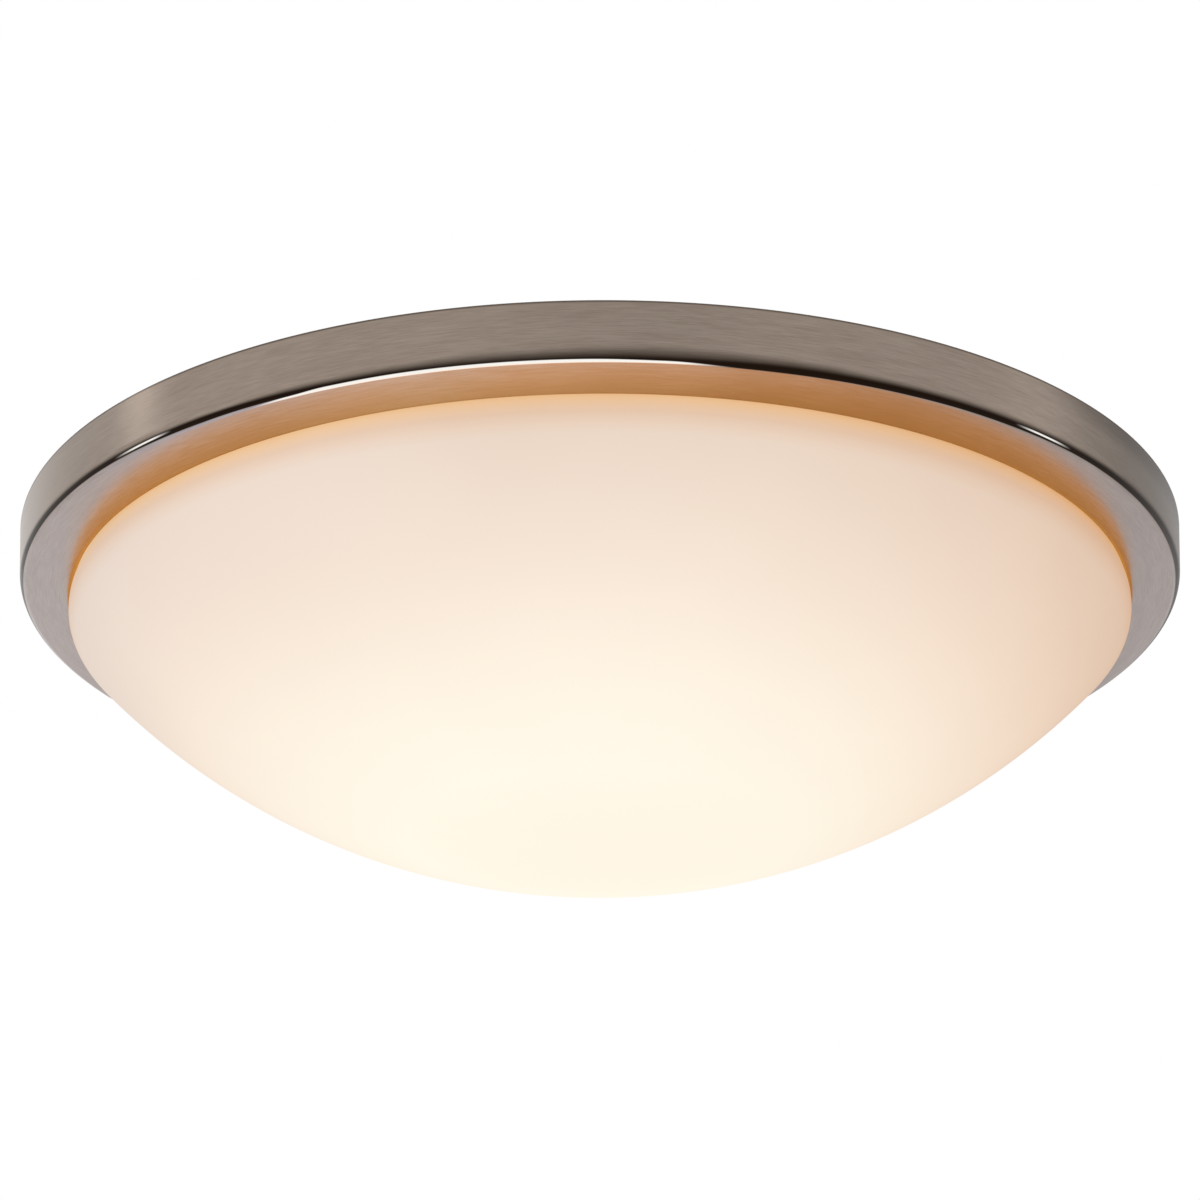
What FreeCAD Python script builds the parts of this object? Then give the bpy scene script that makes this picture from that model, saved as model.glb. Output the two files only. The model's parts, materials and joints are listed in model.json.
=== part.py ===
import FreeCAD, Part
import math
import os

# Flush mount ceiling light: a brushed metal trim ring round a blown opal glass bowl, with three lamps inside.
# Millimetres. The origin is the centre of the junction box screws, in the plane of the ceiling, and +Z is up.

V = FreeCAD.Vector
UP = V(0, 0, 1)

# ---- trim ring ----
ring_radius = 210.0           # outside of the band just above its rounded lower edge
band_lean = 0.8               # how much further out the band is where it meets the ceiling
ring_corner_depth = 19.6      # from the ceiling to where band and flange would meet if the edge were sharp
ring_edge_radius = 4.0
flange_angle = 14.5           # fall of the flange towards the glass, in degrees
flange_width = 19.1           # from the outside of the band to the inside of the upturned lip
ring_fold_radius = 1.6        # where the flange turns up into the lip
ring_lip_height = 3.4
ring_sheet = 0.9

# ---- ceiling pan ----
pan_sheet = 1.0
pan_depth = 5.5               # from the ceiling to the top of the pan's plate
pan_rim_gap = 0.15            # between the pan's rim and the band
pan_rim_below_ceiling = 0.5
pan_bend_radius = 2.0
pan_rib_inset = 57.0          # from the band's inner face to the middle of the rib pressed into the plate
pan_rib_width = 6.0
pan_rib_slope = 3.0
pan_rib_height = 2.0

# ---- ring brackets and their screws ----
ring_bracket_angles = (40.0, 160.0, 280.0)
ring_bracket_turn = 4.4       # width of a bracket, in degrees round the ring
ring_bracket_sheet = 1.2
ring_bracket_bend_radius = 1.8
ring_bracket_drop = 8.0
ring_bracket_leg = 15.0
ring_screw_inset = 8.0        # from the band's inner face to the screw

# ---- glass bowl ----
glass_overhang = 1.3          # widest point of the bowl, beyond the ring's opening
bowl_drop = 116.5             # from the ceiling to the lowest point of the glass
glass_shoulder_radius = 9.8
glass_wall = 4.0
glass_seat_gap = 0.3          # between the shoulder and the ring's folded edge
neck_gap = 2.6                # between the neck and the ring's lip
neck_fillet_radius = 2.5
neck_straight = 1.6           # upright part of the neck below the bead
bead_height = 3.8
bead_depth = 1.8
neck_rim_rise = 1.2

# ---- leaf springs for the glass ----
clip_angles = (100.0, 220.0, 340.0)
clip_width = 12.0
clip_sheet = 0.6
clip_foot_inset = 3.5         # from the band's inner face to the end of the foot
clip_bend_radius = 1.6
clip_bead_clearance = 6.2     # from the bead to the bend at the foot
clip_nose_gap = 0.35          # between the nose and the neck
clip_nose_below_bead = 1.9
clip_tail_out = 3.1
clip_tail_down = 2.6
clip_tail_lift = 0.5          # between the tail and the ring's lip
rivet_radius = 1.6
rivet_head_radius = 2.8
rivet_head_height = 0.9

# ---- crossbar ----
bar_width = 19.0
bar_end = 3.0                 # from a slot to the end of the box bar
bar_sheet = 2.0
slot_spacing = 79.4           # middle of the box screw spacings from 69.9 to 88.9
slot_width = 5.0
slot_length = 14.5
eyelet_radius = 4.8
eyelet_wall = 1.3
eyelet_flange = 1.9
eyelet_flange_sheet = 0.8
stud_spacing = 80.0
stud_to_bar_end = 10.0
stud_radius = 2.1
stud_head_radius = 3.8
stud_head_height = 1.7
stud_below_pan = 6.5
stud_hole_clearance = 0.5
nut_radius = 5.6
nut_height = 9.0
nut_collar_step = 1.4
nut_collar_height = 1.5
nut_grooves = 24
nut_groove_radius = 0.45
ground_screw_offset = 23.0
ground_screw_radius = 2.0
ground_head_radius = 4.2
ground_head_height = 2.2

# ---- wire bushing ----
bushing_angle = 310.0
bushing_gap = 2.0             # from the bushing's flange to the bracket screw beside it
bushing_bore = 5.0
bushing_wall = 1.8
bushing_flange = 2.6
bushing_flange_sheet = 1.4
bushing_snap = 0.7
bushing_snap_height = 0.9

# ---- lamps: sockets and bulbs lie flat, pointing outwards ----
lamp_angles = (10.0, 130.0, 250.0)
globe_pan_gap = 4.5           # between the pan and the bulbs
bracket_sheet = 1.2
bracket_edge = 1.4            # from a screw's head to the edge of the plate
bracket_face = 21.0           # from the centre to the outer face of a tab
bracket_tab_width = 24.0
bracket_tab_below_axis = 16.0
bracket_bend_radius = 2.4
bracket_screw_distance = 28.0
screw_radius = 2.0
screw_head_radius = 3.6
screw_head_height = 2.2
screw_tip_above_pan = 1.0

socket_radius = 19.0
socket_waist_step = 1.6
socket_length = 35.0
socket_back_length = 11.0
socket_floor = 8.0            # thickness of porcelain behind the cavity
socket_edge_radius = 1.6
socket_screw_radius = 1.5
socket_screw_offset = 11.0    # above and below the axis
socket_screw_length = 6.0
socket_screw_head_radius = 2.8
socket_screw_head_height = 1.9

thread_pitch = 3.63           # seven turns to the inch
cap_crest_radius = 13.1
cap_thread_depth = 0.7
cap_wall = 0.5
cap_thread_count = 4
cap_skirt = 5.5
cap_nose = 2.0
shell_gap = 0.3               # between the bulb's thread and the screw shell
shell_wall = 0.6
shell_wave = 0.5
tip_radius = 4.6
tip_length = 1.6
tip_insulator_length = 2.4
tip_insulator_inset = 1.4     # from the thread's root to the insulator's edge
tip_gap = 0.3                 # between the bulb's tip and the centre contact
contact_sheet = 0.6
contact_width = 6.0
contact_reach = 8.0
contact_rise = 3.4

globe_radius = 30.0
globe_wall = 0.9
globe_neck_lip = 0.6          # how far the neck stands over the cap's root
globe_neck_length = 3.5
globe_neck_to_centre = 49.0
globe_sleeve_length = 6.0

# ---- terminal block and leads ----
block_length = 27.0
block_width = 23.0
block_height = 13.0
block_edge = 1.0
block_screw_radius = 1.7
block_screw_step = 8.0
block_screw_stand = 0.8
lead_radius = 1.2
lead_offset = 3.5             # each side of the socket's axis
lead_drop_distance = 8.0      # from the centre to a lead's upright run
lead_bend_radius = 8.0
lead_in_socket = 2.0
lead_hole_gap = 0.4

# ---- worked out from the sizes above ----
ring_top_radius = ring_radius + band_lean
ring_opening_radius = ring_radius - flange_width
glass_radius = ring_opening_radius + glass_overhang
neck_radius = ring_opening_radius - neck_gap
nut_collar_radius = nut_radius + nut_collar_step
bracket_plate_radius = bracket_screw_distance + screw_head_radius + bracket_edge
bushing_flange_radius = bushing_bore + bushing_wall + bushing_flange
bushing_distance = bracket_screw_distance + screw_head_radius + bushing_gap + bushing_flange_radius
socket_waist_radius = socket_radius - socket_waist_step
cap_root_radius = cap_crest_radius - cap_thread_depth
tip_insulator_radius = cap_root_radius - tip_insulator_inset
globe_neck_radius = cap_root_radius + globe_neck_lip
pan_top = -pan_depth
pan_underside = pan_top - pan_sheet
bracket_underside = pan_underside - bracket_sheet
lamp_depth = globe_pan_gap + globe_radius - pan_underside
socket_back = bracket_face
socket_front = socket_back + socket_length
cavity_floor = socket_back + socket_floor
shell_crest_radius = cap_crest_radius + shell_gap
shell_outer_radius = shell_crest_radius + shell_wave + shell_wall
contact_top = cavity_floor + contact_rise + contact_sheet
tip_start = contact_top + tip_gap
tip_end = tip_start + tip_length
insulator_end = tip_end + tip_insulator_length
thread_start = insulator_end + cap_nose
thread_end = thread_start + cap_thread_count * thread_pitch
cap_end = thread_end + cap_skirt
globe_centre = cap_end + globe_neck_length + globe_neck_to_centre


# ---- drawing in the XZ plane ----
def point(x, z):
    return V(x, 0, z)


def path_face(start, *steps):
    """A closed face: each step is (x, z) for a line, or (through_x, through_z, x, z) for an arc."""
    here = point(*start)
    edges = []
    for step in steps:
        there = point(*step[-2:])
        if len(step) == 4:
            edges.append(Part.Arc(here, point(*step[:2]), there).toShape())
        else:
            edges.append(Part.LineSegment(here, there).toShape())
        here = there
    if here.distanceToPoint(point(*start)) > 1e-6:
        edges.append(Part.LineSegment(here, point(*start)).toShape())
    return Part.Face(Part.Wire(edges))


def rounded_corner(before, here, after, radius):
    """Start, middle and end of the arc that rounds one corner."""
    back = (before - here).normalize()
    ahead = (after - here).normalize()
    half = back.getAngle(ahead) / 2
    reach = radius / math.tan(half)
    inward = (back + ahead).normalize()
    middle = here + inward * (radius / math.sin(half) - radius)
    return here + back * reach, middle, here + ahead * reach


def rounded_face(corners):
    """A closed face from corners (x, z, radius), each rounded by its radius."""
    places = [point(x, z) for x, z, radius in corners]
    count = len(corners)
    bends = []
    for i in range(count):
        if corners[i][2] > 0:
            bend = rounded_corner(places[i - 1], places[i], places[(i + 1) % count], corners[i][2])
        else:
            bend = (places[i], None, places[i])
        bends.append(bend)
    edges = []
    for i in range(count):
        start, middle, end = bends[i]
        following = bends[(i + 1) % count][0]
        if middle is not None:
            edges.append(Part.Arc(start, middle, end).toShape())
        if end.distanceToPoint(following) > 1e-6:
            edges.append(Part.LineSegment(end, following).toShape())
    return Part.Face(Part.Wire(edges))


def shifted(points, distance):
    """A bent line (x, z, bend radius) moved to the left of its direction by the sheet's thickness."""
    normals = []
    for (x0, z0, _), (x1, z1, _) in zip(points, points[1:]):
        length = math.hypot(x1 - x0, z1 - z0)
        normals.append(((z0 - z1) / length, (x1 - x0) / length))
    moved = []
    for i, (x, z, radius) in enumerate(points):
        first = normals[max(i - 1, 0)]
        second = normals[min(i, len(normals) - 1)]
        share = 1 + first[0] * second[0] + first[1] * second[1]
        left_turn = first[0] * second[1] - first[1] * second[0] > 0
        if radius > 0:
            radius = radius - distance if left_turn else radius + distance
        moved.append((x + distance * (first[0] + second[0]) / share,
                      z + distance * (first[1] + second[1]) / share, max(radius, 0)))
    return moved


def sheet_face(points, thickness):
    """The section of a bent sheet whose right-hand skin follows the points."""
    return rounded_face(points + shifted(points, thickness)[::-1])


# ---- making solids ----
def spun(face, turn=360.0, start=0.0):
    """A section turned about the fixture's axis."""
    solid = face.revolve(V(0, 0, 0), UP, turn)
    solid.rotate(V(0, 0, 0), UP, start)
    return solid


def upright(face, x, y):
    """A section turned about Z, then moved to (x, y)."""
    solid = spun(face)
    solid.translate(V(x, y, 0))
    return solid


def at_angle(shape, angle):
    """A copy turned round the fixture's axis."""
    copy = shape.copy()
    copy.rotate(V(0, 0, 0), UP, angle)
    return copy


def across(face, width):
    """A section drawn in XZ, extruded to both sides of the plane."""
    solid = face.extrude(V(0, width, 0))
    solid.translate(V(0, -width / 2, 0))
    return solid


def rod(radius, low, high, x, y):
    return Part.makeCylinder(radius, high - low, V(x, y, low))


def polar(distance, angle):
    return distance * math.cos(math.radians(angle)), distance * math.sin(math.radians(angle))


def lamp_part(face, angle):
    """A section drawn as (distance from the centre, radius), turned about a lamp's axis."""
    solid = face.revolve(V(0, 0, 0), V(1, 0, 0), 360)
    return on_lamp_axis(solid, angle)


def on_lamp_axis(shape, angle):
    copy = shape.copy()
    copy.translate(V(0, 0, -lamp_depth))
    copy.rotate(V(0, 0, 0), UP, angle)
    return copy


def group(solids):
    return solids[0] if len(solids) == 1 else Part.makeCompound(solids)


# ---- trim ring ----
band_slope = band_lean / ring_corner_depth
flange_fall = math.tan(math.radians(flange_angle))
fold_depth = ring_corner_depth + flange_width * flange_fall


def band_inner_radius(z):
    """Radius of the band's inner face at a height."""
    slant = math.hypot(1, band_slope)
    return ring_top_radius + band_slope * z - ring_sheet * slant


def trim_ring():
    skin = [(ring_top_radius, 0, 0),
            (ring_radius, -ring_corner_depth, ring_edge_radius),
            (ring_opening_radius, -fold_depth, ring_fold_radius),
            (ring_opening_radius, -fold_depth + ring_lip_height, 0)]
    inside = shifted(skin[::-1], ring_sheet)
    top_radius = inside[-1][0]
    return spun(rounded_face(skin + inside[:-1] + [(top_radius, 0, 0)]))


# ---- ceiling pan ----
def stud_places():
    return [(0, -stud_spacing / 2), (0, stud_spacing / 2)]


def bracket_screw_places():
    between = (lamp_angles[1] - lamp_angles[0]) / 2
    return [polar(bracket_screw_distance, angle + between) for angle in lamp_angles]


def ring_screw_places():
    distance = band_inner_radius(pan_underside) - ring_screw_inset
    return [polar(distance, angle) for angle in ring_bracket_angles]


def rivet_places():
    return [polar(rivet_distance(), angle) for angle in clip_angles]


def ceiling_pan():
    top = -pan_rim_below_ceiling
    rim_top = band_inner_radius(top) - pan_rim_gap
    rim_foot = band_inner_radius(pan_underside) - pan_rim_gap
    rib_radius = rim_foot - pan_rib_inset
    rib_in = rib_radius - pan_rib_width / 2
    rib_out = rib_radius + pan_rib_width / 2
    rib_top = pan_underside + pan_rib_height
    skin = [(rim_top, top, 0),
            (rim_foot, pan_underside, pan_bend_radius),
            (rib_out + pan_rib_slope, pan_underside, pan_bend_radius),
            (rib_out, rib_top, pan_bend_radius),
            (rib_in, rib_top, pan_bend_radius),
            (rib_in - pan_rib_slope, pan_underside, pan_bend_radius),
            (0, pan_underside, 0)]
    inner = shifted(skin[::-1], pan_sheet)[::-1]
    pan = spun(rounded_face(skin + inner[::-1]))
    low = pan_underside - 1
    high = pan_top + 1
    holes = [rod(stud_radius + stud_hole_clearance, low, high, x, y) for x, y in stud_places()]
    holes += [rod(screw_radius, low, high, x, y) for x, y in bracket_screw_places()]
    holes += [rod(screw_radius, low, high, x, y) for x, y in ring_screw_places()]
    holes += [rod(rivet_radius, low, high, x, y) for x, y in rivet_places()]
    x, y = polar(bushing_distance, bushing_angle)
    holes.append(rod(bushing_bore + bushing_wall, low, high, x, y))
    return pan.cut(holes)


# ---- ring brackets and screws ----
def ring_brackets():
    """L brackets: the upright leg lies on the band, the level leg under the pan."""
    foot = pan_underside - ring_bracket_drop
    corner = band_inner_radius(pan_underside)
    skin = [(band_inner_radius(foot), foot, 0),
            (corner, pan_underside, ring_bracket_bend_radius),
            (corner - ring_bracket_leg, pan_underside, 0)]
    leg = sheet_face(skin, ring_bracket_sheet)
    hole = rod(screw_radius, pan_underside - ring_bracket_sheet - 1, pan_top, corner - ring_screw_inset, 0)
    bracket = spun(leg, ring_bracket_turn, -ring_bracket_turn / 2).cut(hole)
    return group([at_angle(bracket, angle) for angle in ring_bracket_angles])


def screw_section(seat, tip):
    """Section of a screw with its head below the seat and its tip above it."""
    return rounded_face([(0, tip, 0),
                         (screw_radius, tip, 0),
                         (screw_radius, seat, 0),
                         (screw_head_radius, seat, 0),
                         (screw_head_radius, seat - screw_head_height, screw_head_height * 0.6),
                         (0, seat - screw_head_height, 0)])


def cross_recess(seat):
    """Two crossed blades that cut the driver recess into a screw's head."""
    low = seat - screw_head_height
    long = screw_head_radius
    thin = screw_head_radius * 0.25
    deep = screw_head_height * 0.5
    blade = Part.makeBox(long, thin, deep, V(-long / 2, -thin / 2, low))
    other = Part.makeBox(thin, long, deep, V(-thin / 2, -long / 2, low))
    return blade.fuse(other)


def screws(places, seat):
    tip = pan_top + screw_tip_above_pan
    one = spun(screw_section(seat, tip)).cut(cross_recess(seat))
    solids = []
    for x, y in places:
        copy = one.copy()
        copy.translate(V(x, y, 0))
        solids.append(copy)
    return group(solids)


def ring_screws():
    return screws(ring_screw_places(), pan_underside - ring_bracket_sheet)


def bracket_screws():
    return screws(bracket_screw_places(), bracket_underside)


# ---- glass bowl ----
def glass_centres():
    """Centres of the shoulder, the dome (its height alone) and the neck's fillet, and the dome's radius."""
    level = math.cos(math.radians(flange_angle))
    fold_r = ring_opening_radius + ring_fold_radius
    fold_z = -fold_depth + ring_fold_radius * flange_fall + ring_fold_radius / level
    shoulder_r = glass_radius - glass_shoulder_radius
    apart = glass_shoulder_radius + ring_fold_radius + glass_seat_gap
    shoulder_z = fold_z - math.sqrt(apart ** 2 - (fold_r - shoulder_r) ** 2)
    rise = shoulder_z + bowl_drop
    squares = shoulder_r ** 2 + rise ** 2 - glass_shoulder_radius ** 2
    dome_radius = squares / (2 * (rise - glass_shoulder_radius))
    dome_z = dome_radius - bowl_drop
    bend = glass_shoulder_radius + neck_fillet_radius
    fillet_r = neck_radius + neck_fillet_radius
    fillet_z = shoulder_z + math.sqrt(bend ** 2 - (fillet_r - shoulder_r) ** 2)
    return (shoulder_r, shoulder_z), dome_z, (fillet_r, fillet_z), dome_radius


def toward(start, end, distance):
    """The point at a distance from start in the direction of end."""
    span = math.hypot(end[0] - start[0], end[1] - start[1])
    return (start[0] + (end[0] - start[0]) * distance / span,
            start[1] + (end[1] - start[1]) * distance / span)


def turned_from(centre, radius, degrees):
    """A point on a circle, by its angle up from the +X side."""
    angle = math.radians(degrees)
    return centre[0] + radius * math.cos(angle), centre[1] + radius * math.sin(angle)


def bearing(centre, place):
    return math.degrees(math.atan2(place[1] - centre[1], place[0] - centre[0]))


def bead_low():
    fillet = glass_centres()[2]
    return fillet[1] + neck_straight


def bead_middle():
    return bead_low() + bead_height / 2


def glass_skin(inset):
    """Apex, dome, shoulder and neck fillet of one skin: steps of a path, from the axis to the neck."""
    shoulder, dome_z, fillet, crown_radius = glass_centres()
    dome = (0, dome_z)
    dome_radius = crown_radius - inset
    shoulder_radius = glass_shoulder_radius - inset
    fillet_radius = neck_fillet_radius + inset
    dome_end = toward(dome, shoulder, dome_radius)
    half_dome = turned_from(dome, dome_radius, (-90 + bearing(dome, dome_end)) / 2)
    shoulder_end = toward(shoulder, fillet, shoulder_radius)
    middle = (bearing(dome, dome_end) + bearing(shoulder, shoulder_end)) / 2
    half_shoulder = turned_from(shoulder, shoulder_radius, middle)
    fillet_start = bearing(fillet, shoulder_end) % 360
    half_fillet = turned_from(fillet, fillet_radius, (fillet_start + 180) / 2)
    fillet_end = (fillet[0] - fillet_radius, fillet[1])
    return [(0, dome_z - dome_radius), half_dome, dome_end, half_shoulder, shoulder_end,
            half_fillet, fillet_end]


def glass_bowl():
    apex, half_dome, dome_end, half_shoulder, shoulder_end, half_fillet, neck_foot = glass_skin(0)
    inner = glass_skin(glass_wall)
    low = bead_low()
    high = low + bead_height
    inside = neck_radius - glass_wall
    face = path_face(apex,
                     half_dome + dome_end,
                     half_shoulder + shoulder_end,
                     half_fillet + neck_foot,
                     (neck_radius, low),
                     (neck_radius + bead_depth, bead_middle(), neck_radius, high),
                     (neck_radius - glass_wall / 2, high + neck_rim_rise, inside, high),
                     inner[6],
                     inner[5] + inner[4],
                     inner[3] + inner[2],
                     inner[1] + inner[0])
    return spun(face)


# ---- leaf springs for the glass ----
def clip_bend_at():
    """Radius of the bend between a leaf spring's foot and its leaf."""
    return neck_radius + bead_depth + clip_bead_clearance


def clip_foot_end():
    return band_inner_radius(pan_underside) - clip_foot_inset


def rivet_distance():
    """A rivet is at the middle of a leaf spring's foot."""
    return (clip_bend_at() + clip_foot_end()) / 2


def glass_clips():
    nose = neck_radius + clip_nose_gap
    nose_z = bead_low() - clip_nose_below_bead
    lip_top = -fold_depth + ring_lip_height
    tail_z = max(nose_z - clip_tail_down, lip_top + clip_tail_lift)
    skin = [(clip_foot_end(), pan_underside, 0),
            (clip_bend_at(), pan_underside, clip_bend_radius),
            (nose, nose_z, clip_bend_radius),
            (nose + clip_tail_out, tail_z, 0)]
    leaf = across(sheet_face(skin, clip_sheet), clip_width)
    low = pan_underside - clip_sheet - 1
    leaf = leaf.cut(rod(rivet_radius, low, pan_top, rivet_distance(), 0))
    return group([at_angle(leaf, angle) for angle in clip_angles])


def clip_rivets():
    low = pan_underside - clip_sheet
    dome = rivet_head_height * 0.7
    face = rounded_face([(0, pan_top + rivet_head_height, 0),
                         (rivet_head_radius, pan_top + rivet_head_height, dome),
                         (rivet_head_radius, pan_top, 0),
                         (rivet_radius, pan_top, 0),
                         (rivet_radius, low, 0),
                         (rivet_head_radius, low, 0),
                         (rivet_head_radius, low - rivet_head_height, dome),
                         (0, low - rivet_head_height, 0)])
    return group([upright(face, x, y) for x, y in rivet_places()])


# ---- crossbar ----
def round_ended_bar(length, width, low, high):
    half = length / 2 - width / 2
    bar = Part.makeBox(2 * half, width, high - low, V(-half, -width / 2, low))
    ends = [rod(width / 2, low, high, side * half, 0) for side in (-1, 1)]
    return bar.fuse(ends).removeSplitter()


def crossbar_box_bar():
    bar = round_ended_bar(slot_spacing + slot_length + 2 * bar_end, bar_width, -bar_sheet, 0)
    slot = round_ended_bar(slot_length, slot_width, -bar_sheet - 1, 1)
    cuts = []
    for side in (-1, 1):
        copy = slot.copy()
        copy.translate(V(side * slot_spacing / 2, 0, 0))
        cuts.append(copy)
    cuts.append(rod(eyelet_radius, -bar_sheet - 1, 1, 0, 0))
    cuts.append(rod(eyelet_radius + eyelet_flange, -eyelet_flange_sheet, 1, 0, 0))
    cuts.append(rod(ground_screw_radius, -bar_sheet - 1, 1, ground_screw_offset, 0))
    return bar.cut(cuts)


def crossbar_fixture_bar():
    bar = round_ended_bar(stud_spacing + 2 * stud_to_bar_end, bar_width, -2 * bar_sheet, -bar_sheet)
    bar.rotate(V(0, 0, 0), UP, 90)
    cuts = [rod(stud_radius, -2 * bar_sheet - 1, 0, x, y) for x, y in stud_places()]
    cuts.append(rod(eyelet_radius, -2 * bar_sheet - 1, 0, 0, 0))
    return bar.cut(cuts)


def crossbar_eyelet():
    low = -2 * bar_sheet
    wide = eyelet_radius + eyelet_flange
    narrow = eyelet_radius - eyelet_wall
    return spun(rounded_face([(narrow, 0, 0),
                              (wide, 0, 0),
                              (wide, -eyelet_flange_sheet, 0),
                              (eyelet_radius, -eyelet_flange_sheet, 0),
                              (eyelet_radius, low, 0),
                              (wide, low, 0),
                              (wide, low - eyelet_flange_sheet, eyelet_flange_sheet / 2),
                              (narrow, low - eyelet_flange_sheet, 0)]))


def mounting_studs():
    head = -bar_sheet
    tip = pan_underside - stud_below_pan
    face = rounded_face([(0, head + stud_head_height, 0),
                         (stud_head_radius, head + stud_head_height, stud_head_height * 0.6),
                         (stud_head_radius, head, 0),
                         (stud_radius, head, 0),
                         (stud_radius, tip, stud_radius * 0.3),
                         (0, tip, 0)])
    return group([upright(face, x, y) for x, y in stud_places()])


def stud_nuts():
    """Knurled cap nuts with a collar against the pan."""
    low = pan_underside - nut_height
    collar = pan_underside - nut_collar_height
    face = rounded_face([(stud_radius, pan_underside, 0),
                         (nut_collar_radius, pan_underside, 0),
                         (nut_collar_radius, collar, nut_collar_height * 0.4),
                         (nut_radius, collar, 0),
                         (nut_radius, low, nut_radius * 0.35),
                         (0, low, 0),
                         (0, pan_underside - stud_below_pan, 0),
                         (stud_radius, pan_underside - stud_below_pan, 0)])
    nut = spun(face)
    grooves = []
    for i in range(nut_grooves):
        x, y = polar(nut_radius, 360.0 * i / nut_grooves)
        grooves.append(rod(nut_groove_radius, low - 1, collar - nut_groove_radius, x, y))
    nut = nut.cut(grooves)
    solids = []
    for x, y in stud_places():
        copy = nut.copy()
        copy.translate(V(x, y, 0))
        solids.append(copy)
    return group(solids)


def ground_screw():
    low = -bar_sheet
    hexagon = Part.makePolygon([V(*polar(ground_head_radius, 60.0 * i), low) for i in range(7)])
    head = Part.Face(hexagon).extrude(V(0, 0, -ground_head_height))
    screw = head.fuse(rod(ground_screw_radius, low, 0, 0, 0))
    slot = Part.makeBox(3 * ground_head_radius, 1.0, 0.8,
                        V(-1.5 * ground_head_radius, -0.5, low - ground_head_height))
    screw = screw.cut(slot)
    screw.translate(V(ground_screw_offset, 0, 0))
    return screw


# ---- wire bushing ----
def wire_bushing():
    outer = bushing_bore + bushing_wall
    flange_low = pan_underside - bushing_flange_sheet
    snap = outer + bushing_snap
    top = pan_top + bushing_snap_height
    face = rounded_face([(bushing_bore, top, 0),
                         (outer, top, 0),
                         (snap, pan_top + bushing_snap_height * 0.3, 0),
                         (snap, pan_top, 0),
                         (outer, pan_top, 0),
                         (outer, pan_underside, 0),
                         (bushing_flange_radius, pan_underside, 0),
                         (bushing_flange_radius, flange_low, bushing_flange_sheet * 0.6),
                         (bushing_bore, flange_low, 0)])
    x, y = polar(bushing_distance, bushing_angle)
    return upright(face, x, y)


# ---- lamp bracket, sockets and bulbs ----
def lead_places():
    return (-lead_offset, lead_offset)


def lamp_bracket():
    """A plate under the pan with three tabs bent down, one behind each socket."""
    corner_reach = bracket_face - bracket_bend_radius
    low = bracket_underside
    plate = rod(bracket_plate_radius, low, pan_underside, 0, 0)
    span = 2 * bracket_plate_radius
    tabs = []
    for angle in lamp_angles:
        outside = Part.makeBox(span, 2 * span, 3 * bracket_sheet, V(corner_reach, -span, low - bracket_sheet))
        plate = plate.cut(at_angle(outside, angle))
        foot = -lamp_depth - bracket_tab_below_axis
        skin = [(bracket_face, foot, 0),
                (bracket_face, pan_underside, bracket_bend_radius),
                (corner_reach - bracket_sheet, pan_underside, 0)]
        tab = across(sheet_face(skin, bracket_sheet), bracket_tab_width)
        holes = [tab_hole(lead_radius + lead_hole_gap, side, 0) for side in lead_places()]
        holes += [tab_hole(socket_screw_radius, 0, side * socket_screw_offset) for side in (-1, 1)]
        tabs.append(at_angle(tab.cut(holes), angle))
    bracket = plate.fuse(tabs).removeSplitter()
    holes = [rod(screw_radius, low - 1, pan_top, x, y) for x, y in bracket_screw_places()]
    return bracket.cut(holes)


def tab_hole(radius, sideways, up):
    start = V(bracket_face - 2 * bracket_sheet, sideways, up - lamp_depth)
    return Part.makeCylinder(radius, 3 * bracket_sheet, start, V(1, 0, 0))


def along_lamp(radius, start, end, sideways, up):
    """A cylinder beside a lamp's axis, before it is turned to its lamp."""
    return Part.makeCylinder(radius, end - start, V(start, sideways, up), V(1, 0, 0))


def socket_body(angle):
    waist = socket_back + socket_back_length
    lip = socket_front - socket_edge_radius * 2
    face = rounded_face([(socket_back, 0, 0),
                         (socket_back, socket_radius, socket_edge_radius),
                         (waist, socket_radius, socket_edge_radius),
                         (waist, socket_waist_radius, socket_edge_radius / 2),
                         (lip, socket_waist_radius, socket_edge_radius / 2),
                         (lip, socket_radius, socket_edge_radius / 2),
                         (socket_front, socket_radius, socket_edge_radius),
                         (socket_front, shell_outer_radius, socket_edge_radius / 2),
                         (cavity_floor, shell_outer_radius, 0),
                         (cavity_floor, 0, 0)])
    body = face.revolve(V(0, 0, 0), V(1, 0, 0), 360)
    holes = [along_lamp(lead_radius, socket_back - 1, socket_back + lead_in_socket, side, 0)
             for side in lead_places()]
    holes += [along_lamp(socket_screw_radius, socket_back - 1, socket_back + socket_screw_length,
                         0, side * socket_screw_offset) for side in (-1, 1)]
    return on_lamp_axis(body.cut(holes), angle)


def wave(start, middle_radius, swing, turns, pitch):
    """Arcs of a rounded thread's section: crest, then root, for each turn."""
    steps = []
    for i in range(turns):
        here = start + i * pitch
        steps.append((here + pitch / 4, middle_radius + swing, here + pitch / 2, middle_radius))
        steps.append((here + 3 * pitch / 4, middle_radius - swing, here + pitch, middle_radius))
    return steps


def wave_back(start, middle_radius, swing, turns, pitch):
    """The same arcs followed the other way."""
    forward = wave(start, middle_radius, swing, turns, pitch)
    ends = [(start, middle_radius)] + [step[2:] for step in forward]
    return [forward[i][:2] + ends[i] for i in range(len(forward) - 1, -1, -1)]


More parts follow.
